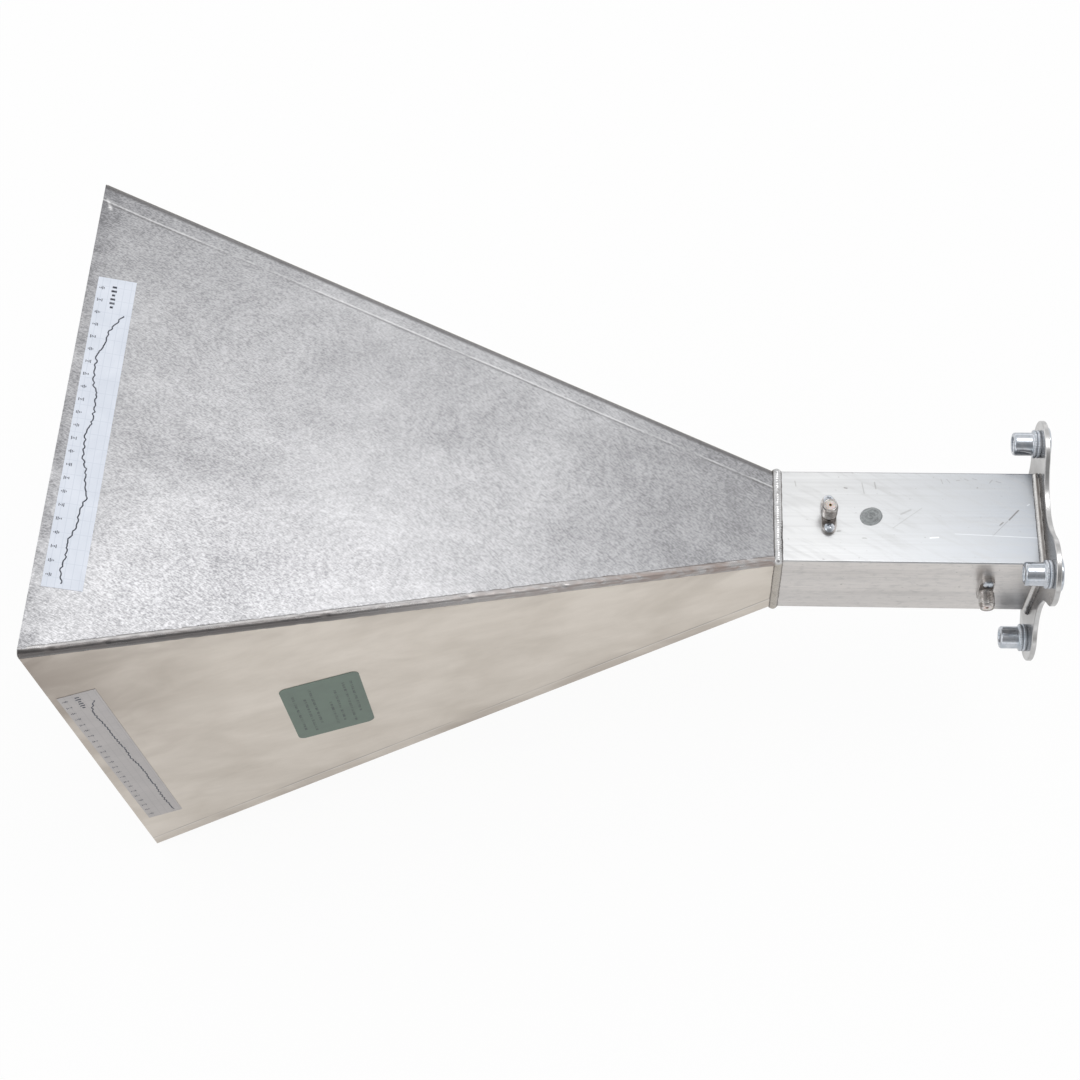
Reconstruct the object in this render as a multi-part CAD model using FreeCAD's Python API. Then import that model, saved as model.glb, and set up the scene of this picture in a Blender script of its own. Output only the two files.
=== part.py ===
import FreeCAD, Part
import math
import os

# Dual-port pyramidal horn antenna: a square feed tube closed by a rear plate, a horn welded up
# from two folded sheets, two coaxial ports and four rivet nuts in the lobes of the plate.
# Origin: centre of the bolt circle on the tube's axis, in the plane of the rivet nuts' heads,
# which a bracket bears on. Axes: -X along the boresight and out of the mouth, +Z up through
# the top port, -Y through the side port.
# All sizes are in millimetres.

# Square feed tube, drawn aluminium
tube_outside = 40.0
tube_wall = 2.0
tube_length = 101.0
tube_corner_radius = 0.6

# Horn, two sheets that are each folded once to make two of its four walls
aperture_inside = 196.0
horn_length = 261.0
sheet_thickness = 2.0
fold_inside_radius = 0.8

# Corner seams of the horn: beads that fill the open corner and lap both sheets a little
seam_lap = 0.7
seam_crest = 1.75

# Weld between horn and tube, and fillet weld between three sides of the tube and the end plate
neck_bead_width = 3.8
neck_bead_height = 0.9
plate_bead_leg = 2.3
plate_bead_bulge = 0.25
bead_root_depth = 1.0

# End plate with four rounded lobes
plate_thickness = 2.0
bolt_circle = 80.0
lobe_tip_radius = 49.0
lobe_radius = 13.5
plate_edge_land = 5.9
plate_edge_chamfer = 0.3

# Rivet nut for an M6 screw, set in the plate with its head on the rear face
nut_thread_radius = 2.5
nut_relief_radius = 3.3
nut_body_radius = 4.5
nut_crease_radius = 5.0
nut_bulge_radius = 5.5
nut_head_radius = 6.5
nut_head_thickness = 1.5
nut_head_chamfer = 0.4
nut_fold_length = 1.4
nut_fold_slope = 0.3
nut_reach = 10.3
nut_nose_chamfer = 0.7
nut_hole_clearance = 0.05

# Coaxial panel jack with a two-hole flange, 1/4-36 thread
jack_height = 9.2
jack_flange_thickness = 1.6
jack_flange_length = 16.0
jack_flange_width = 5.72
jack_screw_pitch = 12.2
jack_screw_hole_radius = 1.15
jack_neck_radius = 2.75
jack_neck_length = 0.7
jack_thread_radius = 3.175
jack_pilot_radius = 2.7
jack_pilot_length = 0.9
jack_thread_chamfer = 0.35
insulator_radius = 2.05
insulator_recess = 0.2
contact_radius = 0.635
contact_socket_radius = 0.47
contact_socket_depth = 2.4
contact_recess = 0.3
contact_clearance = 0.02
probe_radius = 1.2
probe_length = 12.0
bore_clearance = 0.05

# Flange screws, M2 with a pan head and a cross recess
screw_radius = 0.95
screw_length = 4.0
screw_head_radius = 1.95
screw_head_height = 1.5
screw_head_land = 0.7
cross_width = 0.5
cross_span = 2.0
cross_depth = 0.8

# Where the ports and the shorting post stand, measured from the front face of the end plate
side_port_distance = 19.5
post_distance = 65.0
top_port_distance = 81.4
flange_angle = 90.0

# Shorting post across the tube and the sealant over its two ends
post_radius = 1.5
sealant_radius = 4.5
sealant_height = 1.1
sealant_rim = 0.35

# Paper chart strips and the blank rating label, as length across the panel by width along it
label_thickness = 0.15
top_chart_length = 129.5
top_chart_width = 14.1
top_chart_rim_gap = 3.8
top_chart_offset = -8.75
side_chart_length = 128.0
side_chart_width = 14.0
side_chart_rim_gap = 3.2
side_chart_offset = -3.5
side_chart_tilt = 0.8
rating_label_length = 49.0
rating_label_width = 31.0
rating_label_rim_gap = 75.2
rating_label_offset = -4.0
rating_label_corner = 3.0

# Places and angles that follow from the sizes above
tube_half = tube_outside / 2
bore_half = tube_half - tube_wall
mouth_half = aperture_inside / 2
plate_rear = -nut_head_thickness
plate_front = plate_rear - plate_thickness
throat_x = plate_front - tube_length
mouth_x = throat_x - horn_length
flare_slope = (mouth_half - bore_half) / horn_length
flare = math.atan(flare_slope)
sheet_rise = sheet_thickness / math.cos(flare)
panel_length = horn_length / math.cos(flare)
plate_waist = tube_half + plate_bead_leg + plate_edge_land
nut_offset = bolt_circle / 2 / math.sqrt(2)

SIDES = {"top": 0, "near": 90, "bottom": 180, "far": 270}
X_AXIS = FreeCAD.Vector(1, 0, 0)
Y_AXIS = FreeCAD.Vector(0, 1, 0)
Z_AXIS = FreeCAD.Vector(0, 0, 1)
ORIGIN = FreeCAD.Vector(0, 0, 0)


def point(x, y, z):
    return FreeCAD.Vector(x, y, z)


def turned_to(shape, side):
    """The shape as built on the top side, turned about the tube's axis to another side."""
    return shape.rotated(ORIGIN, X_AXIS, SIDES[side])


def cylinder(radius, start, end, axis=Z_AXIS):
    """A round bar on an axis through the origin, from start to end along that axis."""
    return Part.makeCylinder(radius, end - start, axis * start, axis)


def revolved(outline, axis=Z_AXIS):
    """A full turn of a closed outline, given as edges or as (radius, height) points in XZ."""
    if isinstance(outline[0], tuple):
        corners = [point(r, 0, h) for r, h in outline]
        outline = [Part.makePolygon(corners + corners[:1])]
    face = Part.Face(Part.Wire(outline))
    return Part.makeSolid(face.revolve(ORIGIN, axis, 360))


def arc(start, through, end):
    return Part.Arc(start, through, end).toShape()


def line(start, end):
    return Part.LineSegment(start, end).toShape()


def cap_arc(rim, crown):
    """Arc from a rim to a crown on the axis, round a centre on the axis, as on a domed head."""
    rise = crown.z - rim.z
    sphere = (rim.x ** 2 + rise ** 2) / (2 * rise)
    middle = rim.x / 2
    drop = sphere - math.sqrt(sphere ** 2 - middle ** 2)
    return arc(rim, point(middle, 0, crown.z - drop), crown)


def waveguide_tube():
    """Square tube with a bore for each port, tapped holes for its screws and two post holes."""
    body = Part.makeBox(tube_length, tube_outside, tube_outside,
                        point(throat_x, -tube_half, -tube_half))
    long_edges = [e for e in body.Edges if abs(e.tangentAt(e.FirstParameter).x) > 0.99]
    body = body.makeFillet(tube_corner_radius, long_edges)
    bore = Part.makeBox(tube_length, 2 * bore_half, 2 * bore_half,
                        point(throat_x, -bore_half, -bore_half))
    post_hole = cylinder(post_radius + bore_clearance, -tube_outside, tube_outside)
    post_hole.translate(point(plate_front - post_distance, 0, 0))
    cuts = [bore, post_hole]
    for place in (on_top_port, on_side_port):
        cuts.append(place(cylinder(insulator_radius + bore_clearance, -2 * tube_wall, tube_wall)))
        for end in (-1, 1):
            hole = cylinder(screw_radius + bore_clearance, -2 * tube_wall, tube_wall)
            hole.translate(point(end * jack_screw_pitch / 2, 0, 0))
            cuts.append(place(hole))
    return body.cut(cuts)


def horn_wall():
    """Top wall: a trapezoid of sheet on the inner pyramid, squared off against the tube's end."""
    corners = [point(throat_x, -bore_half, bore_half), point(throat_x, bore_half, bore_half),
               point(mouth_x, mouth_half, mouth_half), point(mouth_x, -mouth_half, mouth_half)]
    blank = Part.Face(Part.makePolygon(corners + corners[:1]))
    outward = point(math.sin(flare), 0, math.cos(flare))
    beyond_joint = Part.makeBox(sheet_thickness, tube_outside, tube_outside,
                                point(throat_x, -tube_half, 0))
    return blank.extrude(outward * sheet_thickness).cut(beyond_joint)


def at_corner(u, v):
    """A point of the top near corner's section, out and up from the bore's corner at the neck."""
    return point(throat_x, -bore_half - u, bore_half + v)


def along_corner(outline, run):
    """The section given as edges, drawn out along the top near corner as far as run in -X."""
    face = Part.Face(Part.Wire(outline))
    return face.extrude(point(-run, -run * flare_slope, run * flare_slope))


def corner_fold():
    """Rounded fold of the sheet, built on the top near corner and ended flush with both walls."""
    centre = -fold_inside_radius
    half_turn = math.sqrt(0.5)
    outside = centre + (sheet_rise - centre) * half_turn
    inside = centre - centre * half_turn
    fold = along_corner([
        arc(at_corner(centre, sheet_rise), at_corner(outside, outside),
            at_corner(sheet_rise, centre)),
        line(at_corner(sheet_rise, centre), at_corner(0, centre)),
        arc(at_corner(0, centre), at_corner(inside, inside), at_corner(centre, 0)),
        line(at_corner(centre, 0), at_corner(centre, sheet_rise))], horn_length)
    past_end = Part.makeBox(tube_half, aperture_inside + tube_outside, tube_outside,
                            point(-panel_length - tube_half, -mouth_half - tube_half, -tube_half))
    past_end.rotate(ORIGIN, Y_AXIS, math.degrees(flare))
    past_end.translate(point(throat_x, 0, bore_half))
    return fold.cut([past_end, turned_to(past_end, "near")])


def horn_sheet():
    """Upper sheet, folded once: the top wall, the far wall and the fold between them."""
    wall = horn_wall()
    parts = [turned_to(wall, "far"), turned_to(corner_fold(), "far")]
    return wall.fuse(parts).removeSplitter()


def corner_seam():
    """Bead along the top near corner: it fills the open groove and laps both outer faces."""
    on_top = at_corner(-seam_lap, sheet_rise)
    on_side = at_corner(sheet_rise, -seam_lap)
    root = at_corner(0, 0)
    outline = [line(root, on_top), arc(on_top, at_corner(seam_crest, seam_crest), on_side),
               line(on_side, root)]
    return along_corner(outline, horn_length - sheet_thickness * math.sin(flare))


def quarter_wedge():
    """The quarter of space above the two planes y = z and y = -z, which mitres a weld's ends."""
    reach = tube_outside
    corners = [point(mouth_x, 0, 0), point(mouth_x, reach, reach), point(mouth_x, -reach, reach)]
    return Part.Face(Part.makePolygon(corners + corners[:1])).extrude(X_AXIS * -mouth_x)


def bead_along_y(outline):
    """A weld run on the top side with the given outline in XZ, mitred at the tube's corners."""
    face = Part.Face(Part.Wire(outline))
    face.translate(point(0, -tube_outside, 0))
    return face.extrude(Y_AXIS * 2 * tube_outside).common(quarter_wedge())


def neck_weld():
    """Convex bead over the joint between the top wall and the tube, before it is cut to them."""
    reach = neck_bead_width / 2
    root = tube_half - bead_root_depth
    on_tube = point(throat_x + reach, 0, tube_half)
    on_horn = point(throat_x - reach, 0, bore_half + sheet_rise + reach * flare_slope)
    crest = point(throat_x, 0, bore_half + sheet_rise + neck_bead_height)
    below_tube = point(on_tube.x, 0, root)
    below_horn = point(on_horn.x, 0, root)
    return bead_along_y([arc(on_tube, crest, on_horn), line(on_horn, below_horn),
                         line(below_horn, below_tube), line(below_tube, on_tube)])


def plate_weld(tube):
    """Fillet bead in the corner between the tube's top face and the front of the end plate."""
    root = tube_half - bead_root_depth
    toe = point(plate_front - plate_bead_leg, 0, tube_half)
    top = point(plate_front, 0, tube_half + plate_bead_leg)
    middle = (toe + top) * 0.5 + point(-1, 0, 1) * (plate_bead_bulge / math.sqrt(2))
    below_toe = point(toe.x, 0, root)
    below_top = point(top.x, 0, root)
    bead = bead_along_y([arc(toe, middle, top), line(top, below_top),
                         line(below_top, below_toe), line(below_toe, toe)])
    return bead.cut(tube)


def end_plate():
    """Flat plate whose four lobes are joined by hollow sides, each arc tangent to the next."""
    lobe = (lobe_tip_radius - lobe_radius) / math.sqrt(2)
    dip = plate_waist - lobe
    side_radius = (lobe ** 2 + dip ** 2 - lobe_radius ** 2) / (2 * (lobe_radius - dip))
    side_centre = plate_waist + side_radius
    share = lobe_radius / (side_radius + lobe_radius)
    tangent_y = lobe - lobe * share
    tangent_z = lobe + (side_centre - lobe) * share
    tip = lobe_tip_radius / math.sqrt(2)
    front = plate_front
    edges = []
    for side in SIDES.values():
        hollow = arc(point(front, -tangent_y, tangent_z), point(front, 0, plate_waist),
                     point(front, tangent_y, tangent_z))
        rounded = arc(point(front, tangent_y, tangent_z), point(front, tip, tip),
                      point(front, tangent_z, tangent_y))
        edges += [e.rotated(ORIGIN, X_AXIS, side) for e in (hollow, rounded)]
    outline = Part.Wire(Part.__sortEdges__(edges))
    plate = Part.Face(outline).extrude(X_AXIS * plate_thickness)
    rims = [e for e in plate.Edges if abs(e.BoundBox.XLength) < plate_thickness / 2]
    plate = plate.makeChamfer(plate_edge_chamfer, rims)
    hole = cylinder(nut_body_radius + nut_hole_clearance, plate_front - plate_thickness, 0,
                    X_AXIS)
    hole.translate(point(0, nut_offset, nut_offset))
    return plate.cut([turned_to(hole, side) for side in SIDES])


def rivet_nut():
    """Set rivet nut: flat head, shank in the plate, a bulge of two folds and a threaded body."""
    under_head = nut_head_thickness
    front_of_plate = under_head + plate_thickness
    first_fold = front_of_plate + nut_fold_length
    second_fold = first_fold + nut_fold_length
    body_start = second_fold + nut_crease_radius - nut_body_radius
    front = front_of_plate + nut_reach
    nut = revolved([
        (nut_relief_radius, 0), (nut_head_radius - nut_head_chamfer, 0),
        (nut_head_radius, nut_head_chamfer), (nut_head_radius, under_head),
        (nut_body_radius, under_head), (nut_body_radius, front_of_plate),
        (nut_crease_radius, front_of_plate), (nut_bulge_radius, front_of_plate + nut_fold_slope),
        (nut_bulge_radius, first_fold - nut_fold_slope), (nut_crease_radius, first_fold),
        (nut_bulge_radius, first_fold + nut_fold_slope),
        (nut_bulge_radius, second_fold - nut_fold_slope), (nut_crease_radius, second_fold),
        (nut_body_radius, body_start), (nut_body_radius, front - nut_nose_chamfer),
        (nut_body_radius - nut_nose_chamfer, front), (nut_thread_radius, front),
        (nut_thread_radius, body_start), (nut_relief_radius, body_start)])
    nut.rotate(ORIGIN, Y_AXIS, -90)
    nut.translate(point(0, -nut_offset, nut_offset))
    return nut


def on_top_port(shape):
    """From the jack's own frame, wall at height 0, to the top of the tube."""
    placed = shape.rotated(ORIGIN, Z_AXIS, flange_angle)
    placed.translate(point(plate_front - top_port_distance, 0, tube_half))
    return placed


def on_side_port(shape):
    """From the jack's own frame to the near side of the tube."""
    placed = shape.rotated(ORIGIN, Z_AXIS, flange_angle)
    placed.translate(point(plate_front - side_port_distance, 0, tube_half))
    return turned_to(placed, "near")


def jack_body():
    """Oblong flange with two screw holes, and a threaded barrel with a plain pilot at its end."""
    straight = (jack_flange_length - jack_flange_width) / 2
    half = jack_flange_width / 2
    flange = Part.Wire([line(point(-straight, -half, 0), point(straight, -half, 0)),
                        arc(point(straight, -half, 0), point(straight + half, 0, 0),
                            point(straight, half, 0)),
                        line(point(straight, half, 0), point(-straight, half, 0)),
                        arc(point(-straight, half, 0), point(-straight - half, 0, 0),
                            point(-straight, -half, 0))])
    flange = Part.Face(flange).extrude(Z_AXIS * jack_flange_thickness)
    thread_start = jack_flange_thickness + jack_neck_length
    thread_end = jack_height - jack_pilot_length
    shoulder = jack_thread_radius - jack_thread_chamfer
    barrel = revolved([(0, 0), (jack_neck_radius, 0), (jack_neck_radius, thread_start),
                       (shoulder, thread_start),
                       (jack_thread_radius, thread_start + jack_thread_chamfer),
                       (jack_thread_radius, thread_end - jack_thread_chamfer),
                       (shoulder, thread_end), (jack_pilot_radius, thread_end),
                       (jack_pilot_radius, jack_height), (0, jack_height)])
    cuts = [cylinder(insulator_radius, -jack_height, 2 * jack_height)]
    for end in (-1, 1):
        hole = cylinder(jack_screw_hole_radius, -jack_height, jack_height)
        hole.translate(point(end * jack_screw_pitch / 2, 0, 0))
        cuts.append(hole)
    return flange.fuse(barrel).removeSplitter().cut(cuts)


def insulator():
    """White sleeve from just under the barrel's end to the inner face of the tube wall."""
    sleeve = cylinder(insulator_radius, -tube_wall, jack_height - insulator_recess)
    return sleeve.cut(cylinder(contact_radius + contact_clearance, -jack_height, jack_height))


def contact_probe():
    """Centre contact with a socket and four slots outside, and a thicker probe in the tube."""
    top = jack_height - contact_recess
    rod = cylinder(contact_radius, -tube_wall, top)
    probe = cylinder(probe_radius, -tube_wall - probe_length, -tube_wall)
    tip = [e for e in probe.Edges if abs(e.BoundBox.ZMax + tube_wall + probe_length) < 0.01]
    probe = probe.makeChamfer(probe_radius / 3, tip)
    socket = cylinder(contact_socket_radius, top - contact_socket_depth, jack_height)
    slot_width = contact_socket_radius / 2
    slots = []
    for angle in (0, 90):
        slot = Part.makeBox(2 * contact_radius + 1, slot_width, contact_socket_depth,
                            point(-contact_radius - 0.5, -slot_width / 2,
                                  top - contact_socket_depth))
        slots.append(slot.rotated(ORIGIN, Z_AXIS, angle))
    return rod.fuse(probe).cut([socket] + slots)


def flange_screw(end):
    """Pan-head screw through the flange into the wall, at one end of the flange."""
    under_head = jack_flange_thickness
    top = under_head + screw_head_height
    rim = point(screw_head_radius, 0, under_head + screw_head_land)
    crown = point(0, 0, top)
    foot = [point(0, 0, under_head - screw_length),
            point(screw_radius * 0.7, 0, under_head - screw_length),
            point(screw_radius, 0, under_head - screw_length + screw_radius * 0.3),
            point(screw_radius, 0, under_head), point(screw_head_radius, 0, under_head), rim]
    edges = [line(a, b) for a, b in zip(foot, foot[1:])]
    edges += [cap_arc(rim, crown), line(crown, foot[0])]
    recess = [Part.makeBox(cross_span, cross_width, cross_depth + 1,
                           point(-cross_span / 2, -cross_width / 2, top - cross_depth)),
              Part.makeBox(cross_width, cross_span, cross_depth + 1,
                           point(-cross_width / 2, -cross_span / 2, top - cross_depth))]
    screw = revolved(edges).cut(recess)
    screw.rotate(ORIGIN, Z_AXIS, 25 * end)
    screw.translate(point(end * jack_screw_pitch / 2, 0, 0))
    return screw


def shorting_post():
    """Rod across the tube, flush with its top and bottom faces."""
    post = cylinder(post_radius, -tube_half, tube_half)
    post.translate(point(plate_front - post_distance, 0, 0))
    return post


def sealant_dab():
    """Low round dab on the top face, over the end of the post."""
    dab = revolved([(0, 0), (sealant_radius, 0), (sealant_radius, sealant_rim),
                    (sealant_radius * 0.75, sealant_height * 0.8),
                    (sealant_radius * 0.35, sealant_height), (0, sealant_height)])
    dab.translate(point(plate_front - post_distance, 0, tube_half))
    return dab


def label(length, width, rim_gap, offset, tilt=0.0, corner=0.0):
    """Thin label on the outer face of the top panel, its near-mouth edge rim_gap from the rim."""
    blank = Part.makeBox(width, length, label_thickness, point(-width / 2, -length / 2, 0))
    if corner:
        blank = blank.makeFillet(corner, [e for e in blank.Edges if e.BoundBox.ZLength > 0.01])
    blank.rotate(ORIGIN, Z_AXIS, tilt)
    blank.translate(point(-(panel_length - rim_gap - width / 2), offset, sheet_thickness))
    blank.rotate(ORIGIN, Y_AXIS, math.degrees(flare))
    blank.translate(point(throat_x, 0, bore_half))
    return blank


def build_nodes():
    nodes = {}
    tube = waveguide_tube()
    nodes["waveguide_tube"] = tube
    upper = horn_sheet()
    lower = turned_to(upper, "bottom")
    nodes["horn_sheet_upper"] = upper
    nodes["horn_sheet_lower"] = lower
    seam = corner_seam().cut([upper, lower])
    nodes["corner_seam_top_near"] = seam
    nodes["corner_seam_bottom_far"] = turned_to(seam, "bottom")
    horn = [upper, lower, seam, nodes["corner_seam_bottom_far"]]
    for side in SIDES:
        nodes["neck_weld_" + side] = turned_to(neck_weld(), side).cut([tube] + horn)
    fillet = plate_weld(tube)
    past_far_side = Part.makeBox(tube_length, tube_outside, 2 * tube_outside,
                                 point(throat_x, tube_half, -tube_outside))
    for side in ("top", "near", "bottom"):
        nodes["plate_weld_" + side] = turned_to(fillet, side).cut(past_far_side)
    nodes["end_plate"] = end_plate()
    for number, side in enumerate(SIDES, 1):
        nodes["rivet_nut_" + str(number)] = turned_to(rivet_nut(), side)
    for port, place in (("top", on_top_port), ("side", on_side_port)):
        nodes[port + "_jack_body"] = place(jack_body())
        nodes[port + "_jack_insulator"] = place(insulator())
        nodes[port + "_contact_probe"] = place(contact_probe())
        nodes[port + "_flange_screw_1"] = place(flange_screw(-1))
        nodes[port + "_flange_screw_2"] = place(flange_screw(1))
    nodes["shorting_post"] = shorting_post()
    nodes["post_sealant_top"] = sealant_dab()
    nodes["post_sealant_bottom"] = turned_to(sealant_dab(), "bottom")
    nodes["chart_strip_top"] = label(top_chart_length, top_chart_width, top_chart_rim_gap,
                                     top_chart_offset)
    nodes["chart_strip_side"] = turned_to(label(side_chart_length, side_chart_width,
                                                side_chart_rim_gap, side_chart_offset,
                                                side_chart_tilt), "near")
    nodes["rating_label"] = turned_to(label(rating_label_length, rating_label_width,
                                            rating_label_rim_gap, rating_label_offset,
                                            corner=rating_label_corner), "near")
    return nodes


os.makedirs("parts", exist_ok=True)
for name, shape in build_nodes().items():
    shape.exportStep("parts/" + name + ".step")
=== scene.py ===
import math
import bmesh
import bpy
from mathutils import Matrix, Vector, noise


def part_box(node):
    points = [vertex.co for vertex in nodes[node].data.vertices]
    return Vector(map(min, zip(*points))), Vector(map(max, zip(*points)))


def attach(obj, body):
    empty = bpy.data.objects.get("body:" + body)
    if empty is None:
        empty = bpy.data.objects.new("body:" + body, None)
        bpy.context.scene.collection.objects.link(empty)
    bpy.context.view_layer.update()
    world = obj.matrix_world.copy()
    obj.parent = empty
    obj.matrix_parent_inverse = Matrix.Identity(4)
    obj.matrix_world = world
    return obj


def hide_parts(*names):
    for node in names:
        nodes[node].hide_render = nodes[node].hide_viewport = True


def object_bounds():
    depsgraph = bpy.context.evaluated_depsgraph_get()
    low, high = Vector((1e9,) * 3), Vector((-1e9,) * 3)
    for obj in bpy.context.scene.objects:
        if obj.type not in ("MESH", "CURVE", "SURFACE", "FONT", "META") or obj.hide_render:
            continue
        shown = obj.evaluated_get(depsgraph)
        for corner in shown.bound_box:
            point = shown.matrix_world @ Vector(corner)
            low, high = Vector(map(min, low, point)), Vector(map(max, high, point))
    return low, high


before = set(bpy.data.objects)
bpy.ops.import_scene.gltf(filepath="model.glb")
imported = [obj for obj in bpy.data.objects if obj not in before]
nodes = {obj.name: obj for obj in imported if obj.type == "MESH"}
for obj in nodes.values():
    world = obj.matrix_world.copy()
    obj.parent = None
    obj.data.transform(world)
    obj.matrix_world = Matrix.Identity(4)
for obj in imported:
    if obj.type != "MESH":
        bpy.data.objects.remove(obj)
cad_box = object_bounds()
scene = bpy.context.scene
mm = 0.001

# Camera. It looks down on the horn's top and near side, with the tube pointing right and only a
# little lower than the mouth.
camera = bpy.data.objects.new("camera", bpy.data.cameras.new("camera"))
camera.location = (-0.14694, -0.34442, 0.65323)
camera.rotation_euler = [math.radians(angle) for angle in (27.788, 3.208, 2.470)]
camera.data.lens = 61.3
camera.data.sensor_width = 36
scene.collection.objects.link(camera)
scene.camera = camera

# Feed tube. A square tube of drawn aluminium, 40 mm across, with the fine lines of the die along
# it. Handling has left grey streaks, a few scratches and faint pencil strokes on its top.
tube_low, tube_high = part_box("waveguide_tube")
throat_x = tube_low.x
plate_front = tube_high.x
tube_half = tube_high.z
tube_pale = (0.61, 0.615, 0.62, 1)
tube_grey = (0.38, 0.38, 0.38, 1)
tube_blue = (0.325, 0.345, 0.375, 1)
tube_side_warm_reflection = (0.69, 0.66, 0.64, 1)
tube_stain = (0.21, 0.20, 0.19, 1)
tube_marks = [
    ((-22.5, -7.9), (-16.5, -1.5), 0.20, 0.35),
    ((-15.8, -0.8), (-12.0, 3.4), 0.40, 0.7),
    ((-19.5, -3.2), (-18.2, -2.0), 0.35, 0.6),
    ((-60.3, -4.9), (-48.8, 4.0), 0.20, 0.3),
    ((-57.0, 1.2), (-53.2, 3.1), 0.5, 0.3),
    ((-78.4, 12.7), (-77.4, 12.5), 0.4, 0.7),
    ((-81.8, -6.6), (-80.6, -6.5), 0.4, 0.5),
    ((-71.5, 14.9), (-70.8, 10.2), 0.3, 0.35),
    ((-66.6, 15.2), (-66.2, 12.4), 0.4, 0.4),
    ((-97.6, 15.5), (-97.2, 13.2), 0.3, 0.35),
    ((-40.8, 16.9), (-40.2, 14.9), 0.2, 0.4),
    ((-38.6, 17.0), (-37.4, 15.4), 0.2, 0.35),
    ((-34.8, 16.4), (-33.6, 16.6), 0.2, 0.4),
    ((-31.8, 17.2), (-30.2, 16.4), 0.2, 0.35),
    ((-28.6, 17.4), (-27.0, 16.8), 0.2, 0.4),
    ((-22.2, 15.4), (-21.0, 16.8), 0.22, 0.45),
    ((-19.6, 16.2), (-17.8, 15.6), 0.22, 0.4),
]
tube_glints = [
    ((-46.4, -9.1), (-43.2, -8.8), 0.35, 0.7),
    ((-36.8, -7.2), (-4.7, -8.6), 0.16, 0.45),
    ((-8.4, 5.6), (-7.6, 6.1), 0.25, 0.5),
]


def add(tree, kind, values, **settings):
    """One shader node: its settings, then each socket given a value or a link."""
    made = tree.nodes.new("ShaderNode" + kind)
    for setting, value in settings.items():
        setattr(made, setting, value)
    for socket, value in values.items():
        if isinstance(value, bpy.types.NodeSocket):
            tree.links.new(value, made.inputs[socket])
        else:
            made.inputs[socket].default_value = value
    return made


def calc(tree, operation, *values):
    return add(tree, "Math", dict(enumerate(values)), operation=operation).outputs[0]


def ramp(tree, value, low, high, at_low=0.0, at_high=1.0):
    """Value between low and high, spread over at_low to at_high and held there outside."""
    return add(tree, "MapRange", {0: value, 1: low, 2: high, 3: at_low, 4: at_high}).outputs[0]


def blend(tree, share, first, second, how="MIX"):
    mixed = add(tree, "Mix", {0: share, 6: first, 7: second}, data_type="RGBA", blend_type=how)
    return mixed.outputs[2]


def spot(tree, turn=0.0, about=0):
    """The point on the piece, in metres, turned by so many degrees about X, Y or Z."""
    angles = [0.0, 0.0, 0.0]
    angles[about] = math.radians(turn)
    here = add(tree, "TexCoord", {}).outputs["Object"]
    return add(tree, "Mapping", {"Vector": here, "Rotation": angles}).outputs[0]


def grain(tree, point, stretch, detail=3.0, warp=0.0, turn=0.0):
    """Noise whose features are 1 / stretch metres long in X, Y and Z, turned about Z first."""
    turned = add(tree, "Mapping", {"Vector": point, "Rotation": (0, 0, math.radians(turn))})
    scaled = add(tree, "Mapping", {"Vector": turned.outputs[0], "Scale": stretch})
    made = add(tree, "TexNoise", {"Vector": scaled.outputs[0], "Scale": 1.0, "Detail": detail,
                                  "Distortion": warp})
    return made.outputs[0]


def scratch(tree, point, start, end, width):
    """1 along the straight line from start to end, fading to 0 at width from it."""
    run = Vector(end) - Vector(start)
    offset = add(tree, "VectorMath", {0: point, 1: start}, operation="SUBTRACT").outputs[0]
    share = add(tree, "VectorMath", {0: offset, 1: run / run.length_squared},
                operation="DOT_PRODUCT").outputs["Value"]
    share = calc(tree, "MINIMUM", calc(tree, "MAXIMUM", share, 0.0), 1.0)
    foot = add(tree, "VectorMath", {0: run, "Scale": share}, operation="SCALE").outputs[0]
    gap = add(tree, "VectorMath", {0: offset, 1: foot}, operation="DISTANCE").outputs["Value"]
    return ramp(tree, gap, width * 0.3, width, 1.0, 0.0)


def marks_on(tree, point, height, marks):
    """The strongest of many short marks at one height, given in millimetres with a strength."""
    total = 0.0
    for start, end, width, strength in marks:
        mark = scratch(tree, point, Vector((*start, height / mm)) * mm,
                       Vector((*end, height / mm)) * mm, width * mm)
        total = calc(tree, "MAXIMUM", total, calc(tree, "MULTIPLY", mark, strength))
    return total


def surface(name, roughness):
    """A material that isn't metal: itself, its node tree and its shader."""
    made = bpy.data.materials.new(name)
    made.use_nodes = True
    shader = made.node_tree.nodes["Principled BSDF"]
    shader.inputs["Roughness"].default_value = roughness
    return made, made.node_tree, shader


def metal(name, roughness=0.35):
    """A bare metal: itself, its node tree and its shader."""
    made, tree, shader = surface(name, roughness)
    shader.inputs["Metallic"].default_value = 1.0
    return made, tree, shader


def relief(tree, shader, height, depth, strength=1.0):
    """Bump of so many metres from a height of 0 to 1."""
    bump = add(tree, "Bump", {"Height": height, "Distance": depth, "Strength": strength})
    tree.links.new(bump.outputs[0], shader.inputs["Normal"])


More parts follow.
